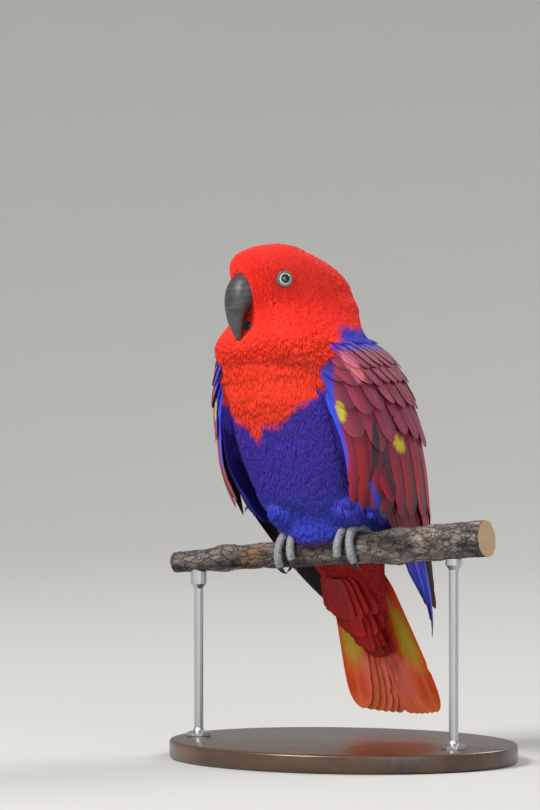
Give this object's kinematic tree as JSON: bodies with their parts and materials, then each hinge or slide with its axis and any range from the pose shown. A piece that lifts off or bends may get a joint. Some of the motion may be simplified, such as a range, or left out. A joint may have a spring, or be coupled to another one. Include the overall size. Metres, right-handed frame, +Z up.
{
  "type": "female eclectus parrot on a perch",
  "caption": "Life-size female eclectus parrot, red head, blue-violet belly and maroon wings, gripping a cut branch that a plain oval stand holds up.",
  "frame": {"origin": "centre of the stand base's underside", "axes": "+Z up, the bird faces -Y with its head turned 27 degrees to its right, and its left side is +X"},
  "size_m": [0.236, 0.196, 0.3324],
  "materials": {
    "red_feathers": "fine, soft, hair-like scarlet feathers, satin in strong light",
    "violet_feathers": "soft blue-violet feathers, brighter blue towards the legs",
    "maroon_feathers": "smooth dark red vanes with grey-black inner webs and blue leading edges",
    "tail_feathers": "orange-red vanes, paler at the tips, with dark red coverts",
    "foot_skin": "pale grey scaly skin with dark horny claws",
    "bill_horn": "charcoal-black horn with a semi-gloss grey sheen",
    "eye": "clear wet cornea over a pale yellowish iris and black pupil",
    "bark": "weathered grey-brown bark with ochre patches",
    "stand_wood": "dark stained wood, satin varnish",
    "stand_metal": "satin steel"
  },
  "bodies": {
    "root": {"head": "red_feathers", "neck": "red_feathers", "torso": "violet_feathers", "tail": "tail_feathers", "wing_left": "maroon_feathers", "wing_right": "maroon_feathers", "leg_left": "violet_feathers", "leg_right": "violet_feathers", "foot_left": "foot_skin", "foot_right": "foot_skin", "bill_upper": "bill_horn", "bill_lower": "bill_horn", "eye_left": "eye", "eye_right": "eye", "perch": "bark", "stand_base": "stand_wood", "stand_rod_left": "stand_metal", "stand_rod_right": "stand_metal"}
  },
  "joints": []
}
